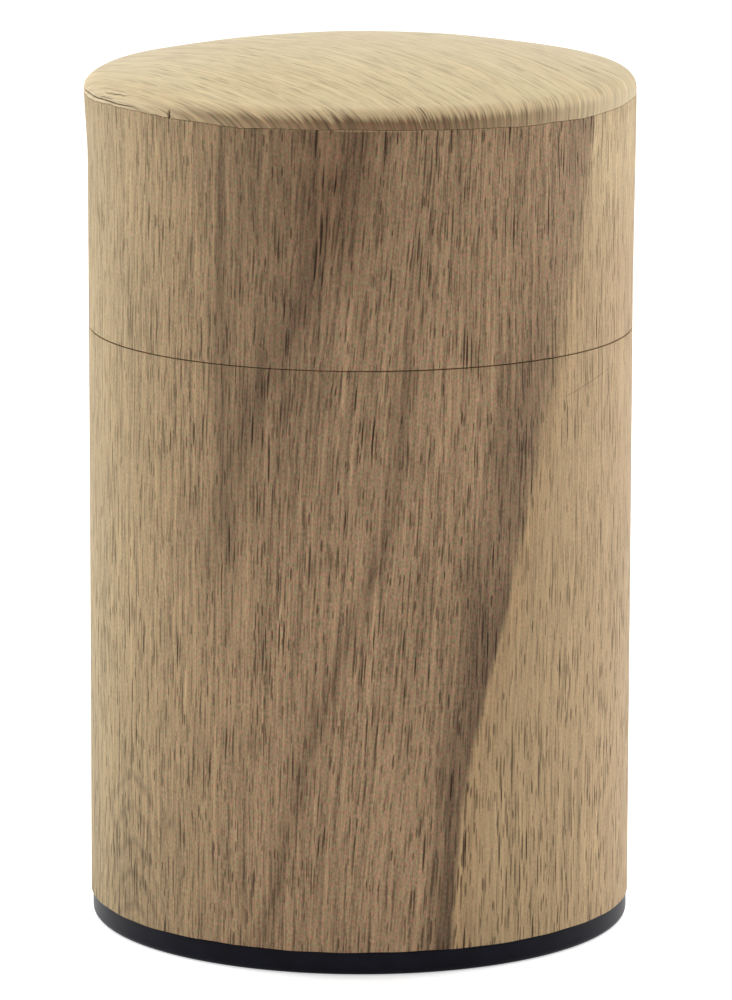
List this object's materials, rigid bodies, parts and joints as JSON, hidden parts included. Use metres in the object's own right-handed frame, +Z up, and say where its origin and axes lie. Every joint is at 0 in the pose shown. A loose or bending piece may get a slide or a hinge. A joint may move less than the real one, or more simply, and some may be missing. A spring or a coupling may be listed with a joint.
{
  "type": "tea caddy",
  "caption": "Cylindrical walnut-veneered tea caddy with a domed lift-off outer lid, a plug inner lid with a turned knob, a bark-lined neck and a black base.",
  "frame": {"origin": "middle of the flat face that the foot ring stands on", "axes": "+Z up, along the caddy's own axis; +Y points to the back, where the rolled sheets are joined"},
  "size_m": [0.08, 0.08, 0.13],
  "materials": {
    "walnut_face": "natural matt walnut veneer, fine-pored, with a darker heartwood stripe",
    "walnut_crown": "natural matt pale walnut veneer",
    "core_wood": "plain rolled wood, bare",
    "cherry_bark": "polished dark red cherry bark with lenticels",
    "black_lacquer": "satin black lacquer",
    "knob_wood": "turned dark walnut, waxed"
  },
  "bodies": {
    "body": {"base_board": "black_lacquer", "body_core": "core_wood", "body_face_veneer": "walnut_face", "neck_tube": "core_wood", "neck_skin": "cherry_bark", "body_lining": "cherry_bark", "floor_board": "core_wood", "floor_lining": "cherry_bark"},
    "inner_lid": {"inner_lid_board": "core_wood", "inner_lid_facing": "cherry_bark", "inner_lid_edge_band": "cherry_bark", "plug_ring": "core_wood", "plug_band": "cherry_bark", "plug_floor": "core_wood", "plug_facing": "cherry_bark", "knob": "knob_wood", "knob_dowel": "core_wood"},
    "outer_lid": {"lid_core": "core_wood", "lid_face_veneer": "walnut_face", "crown_board": "core_wood", "crown_veneer": "walnut_crown", "lid_lining": "cherry_bark", "ceiling_lining": "cherry_bark"}
  },
  "joints": [
    {"name": "inner_lid_lift", "type": "slide", "parent": "body", "child": "inner_lid", "axis": [0, 0, 1], "range_m": [0, 0.045]},
    {"name": "outer_lid_lift", "type": "slide", "parent": "inner_lid", "child": "outer_lid", "axis": [0, 0, 1], "range_m": [0, 0.075]}
  ]
}
